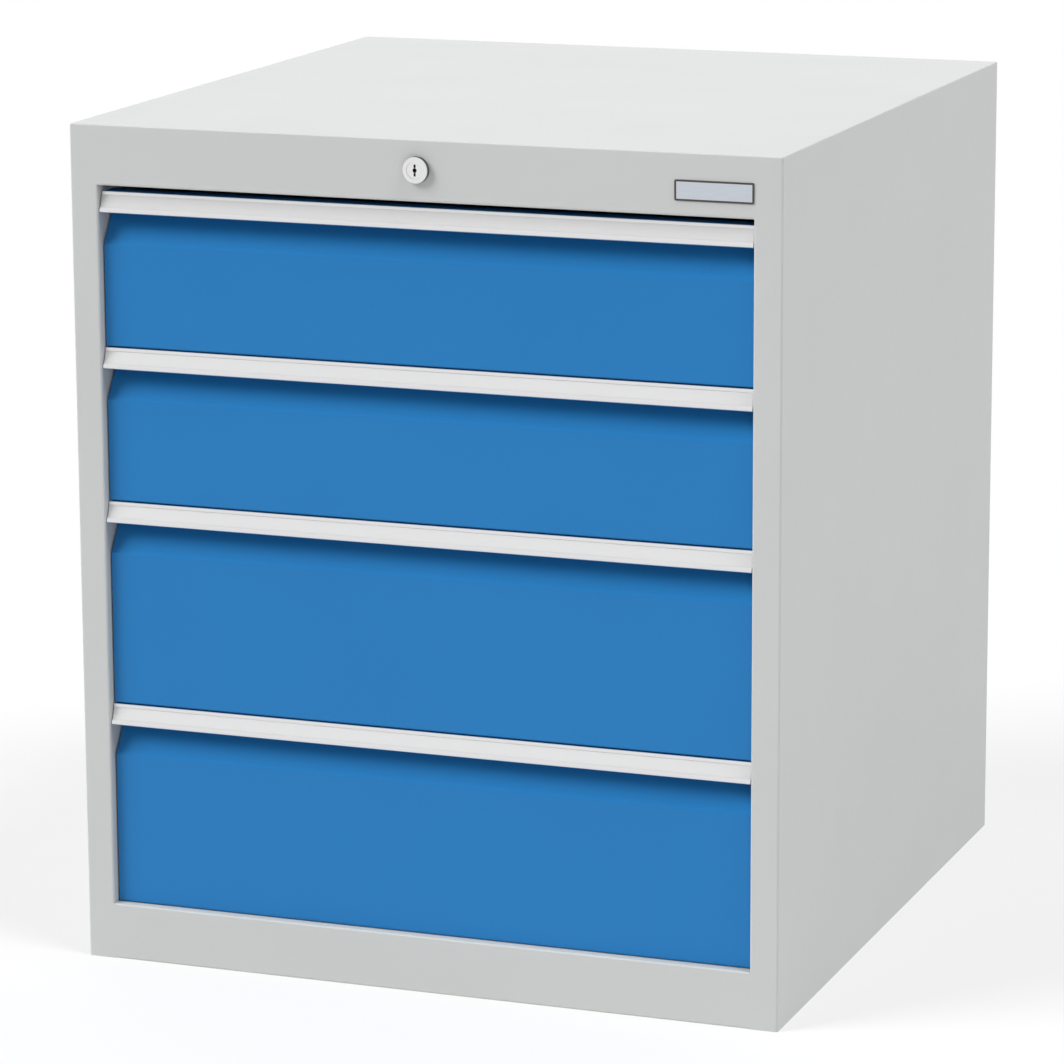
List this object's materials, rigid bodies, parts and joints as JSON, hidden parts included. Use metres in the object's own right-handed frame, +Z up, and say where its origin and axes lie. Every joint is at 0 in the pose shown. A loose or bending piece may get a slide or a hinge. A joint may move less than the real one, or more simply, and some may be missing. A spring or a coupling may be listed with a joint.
{
  "type": "drawer cabinet",
  "caption": "Free-standing sheet-steel workshop drawer cabinet with recessed fronts, full-width grip rails, ball-bearing slides and a central lock.",
  "frame": {"origin": "centre of the footprint on the floor", "axes": "+X to the right of someone who faces the drawers, +Y to the rear, +Z up"},
  "size_m": [0.705, 0.743, 0.819],
  "materials": {
    "housing_paint": "light grey powder coat, fine texture, satin",
    "front_paint": "light blue powder coat, fine texture, satin",
    "tray_paint": "light grey powder coat, satin",
    "grip_metal": "extruded, natural anodised, satin",
    "label_card": "plain white label strip",
    "badge_metal": "blank brushed plate",
    "lock_metal": "satin nickel plated die casting",
    "zinc_steel": "bright zinc plated"
  },
  "bodies": {
    "root": {"side_panel_right": "housing_paint", "side_panel_left": "housing_paint", "top_cover": "housing_paint", "base_pan": "housing_paint", "rear_panel": "housing_paint", "rear_rivets": "zinc_steel", "slide_uprights": "housing_paint", "badge_plate": "badge_metal", "lock_barrel": "lock_metal", "lock_nut": "zinc_steel", "lock_rod_bearing": "zinc_steel", "lock_bar_guides": "housing_paint", "outer_slides_1": "zinc_steel", "outer_slides_2": "zinc_steel", "outer_slides_3": "zinc_steel", "outer_slides_4": "zinc_steel"},
    "lock_core": {"lock_plug": "lock_metal", "lock_rod": "zinc_steel", "lock_crank": "zinc_steel"},
    "lock_bar": {"lock_bar": "zinc_steel"},
    "drawer_1": {"drawer_tray_1": "tray_paint", "front_panel_1": "front_paint", "grip_rail_1": "grip_metal", "label_strip_1": "label_card", "front_screws_1": "zinc_steel", "lock_catch_1": "zinc_steel", "inner_slides_1": "zinc_steel"},
    "middle_slides_1": {"middle_slides_1": "zinc_steel"},
    "outer_cages_1": {"outer_ball_cages_1": "zinc_steel"},
    "inner_cages_1": {"inner_ball_cages_1": "zinc_steel"},
    "drawer_2": {"drawer_tray_2": "tray_paint", "front_panel_2": "front_paint", "grip_rail_2": "grip_metal", "label_strip_2": "label_card", "front_screws_2": "zinc_steel", "lock_catch_2": "zinc_steel", "inner_slides_2": "zinc_steel"},
    "middle_slides_2": {"middle_slides_2": "zinc_steel"},
    "outer_cages_2": {"outer_ball_cages_2": "zinc_steel"},
    "inner_cages_2": {"inner_ball_cages_2": "zinc_steel"},
    "drawer_3": {"drawer_tray_3": "tray_paint", "front_panel_3": "front_paint", "grip_rail_3": "grip_metal", "label_strip_3": "label_card", "front_screws_3": "zinc_steel", "lock_catch_3": "zinc_steel", "inner_slides_3": "zinc_steel"},
    "middle_slides_3": {"middle_slides_3": "zinc_steel"},
    "outer_cages_3": {"outer_ball_cages_3": "zinc_steel"},
    "inner_cages_3": {"inner_ball_cages_3": "zinc_steel"},
    "drawer_4": {"drawer_tray_4": "tray_paint", "front_panel_4": "front_paint", "grip_rail_4": "grip_metal", "label_strip_4": "label_card", "front_screws_4": "zinc_steel", "lock_catch_4": "zinc_steel", "inner_slides_4": "zinc_steel"},
    "middle_slides_4": {"middle_slides_4": "zinc_steel"},
    "outer_cages_4": {"outer_ball_cages_4": "zinc_steel"},
    "inner_cages_4": {"inner_ball_cages_4": "zinc_steel"}
  },
  "joints": [
    {"name": "drawer_1_slide", "type": "slide", "parent": "root", "child": "drawer_1", "axis": [0, -1, 0], "range_m": [0, 0.6]},
    {"name": "middle_slides_1_travel", "type": "slide", "parent": "root", "child": "middle_slides_1", "axis": [0, -1, 0], "range_m": [0, 0.3]},
    {"name": "outer_cages_1_travel", "type": "slide", "parent": "root", "child": "outer_cages_1", "axis": [0, -1, 0], "range_m": [0, 0.15]},
    {"name": "inner_cages_1_travel", "type": "slide", "parent": "root", "child": "inner_cages_1", "axis": [0, -1, 0], "range_m": [0, 0.45]},
    {"name": "drawer_2_slide", "type": "slide", "parent": "root", "child": "drawer_2", "axis": [0, -1, 0], "range_m": [0, 0.6]},
    {"name": "middle_slides_2_travel", "type": "slide", "parent": "root", "child": "middle_slides_2", "axis": [0, -1, 0], "range_m": [0, 0.3]},
    {"name": "outer_cages_2_travel", "type": "slide", "parent": "root", "child": "outer_cages_2", "axis": [0, -1, 0], "range_m": [0, 0.15]},
    {"name": "inner_cages_2_travel", "type": "slide", "parent": "root", "child": "inner_cages_2", "axis": [0, -1, 0], "range_m": [0, 0.45]},
    {"name": "drawer_3_slide", "type": "slide", "parent": "root", "child": "drawer_3", "axis": [0, -1, 0], "range_m": [0, 0.6]},
    {"name": "middle_slides_3_travel", "type": "slide", "parent": "root", "child": "middle_slides_3", "axis": [0, -1, 0], "range_m": [0, 0.3]},
    {"name": "outer_cages_3_travel", "type": "slide", "parent": "root", "child": "outer_cages_3", "axis": [0, -1, 0], "range_m": [0, 0.15]},
    {"name": "inner_cages_3_travel", "type": "slide", "parent": "root", "child": "inner_cages_3", "axis": [0, -1, 0], "range_m": [0, 0.45]},
    {"name": "drawer_4_slide", "type": "slide", "parent": "root", "child": "drawer_4", "axis": [0, -1, 0], "range_m": [0, 0.6]},
    {"name": "middle_slides_4_travel", "type": "slide", "parent": "root", "child": "middle_slides_4", "axis": [0, -1, 0], "range_m": [0, 0.3]},
    {"name": "outer_cages_4_travel", "type": "slide", "parent": "root", "child": "outer_cages_4", "axis": [0, -1, 0], "range_m": [0, 0.15]},
    {"name": "inner_cages_4_travel", "type": "slide", "parent": "root", "child": "inner_cages_4", "axis": [0, -1, 0], "range_m": [0, 0.45]},
    {"name": "lock_turn", "type": "hinge", "parent": "root", "child": "lock_core", "pos_m": [0, 0, 0.7915], "axis": [0, 1, 0], "range_deg": [0, 90]},
    {"name": "lock_bar_lift", "type": "slide", "parent": "root", "child": "lock_bar", "axis": [0, 0, 1], "range_m": [0, 0.01414]}
  ],
  "couplings": [
    {"joint": "middle_slides_1_travel", "follows": "drawer_1_slide", "ratio": 0.5},
    {"joint": "outer_cages_1_travel", "follows": "drawer_1_slide", "ratio": 0.25},
    {"joint": "inner_cages_1_travel", "follows": "drawer_1_slide", "ratio": 0.75},
    {"joint": "middle_slides_2_travel", "follows": "drawer_2_slide", "ratio": 0.5},
    {"joint": "outer_cages_2_travel", "follows": "drawer_2_slide", "ratio": 0.25},
    {"joint": "inner_cages_2_travel", "follows": "drawer_2_slide", "ratio": 0.75},
    {"joint": "middle_slides_3_travel", "follows": "drawer_3_slide", "ratio": 0.5},
    {"joint": "outer_cages_3_travel", "follows": "drawer_3_slide", "ratio": 0.25},
    {"joint": "inner_cages_3_travel", "follows": "drawer_3_slide", "ratio": 0.75},
    {"joint": "middle_slides_4_travel", "follows": "drawer_4_slide", "ratio": 0.5},
    {"joint": "outer_cages_4_travel", "follows": "drawer_4_slide", "ratio": 0.25},
    {"joint": "inner_cages_4_travel", "follows": "drawer_4_slide", "ratio": 0.75},
    {"joint": "lock_turn", "follows": "lock_bar_lift", "rad_per_m": 111.07}
  ]
}
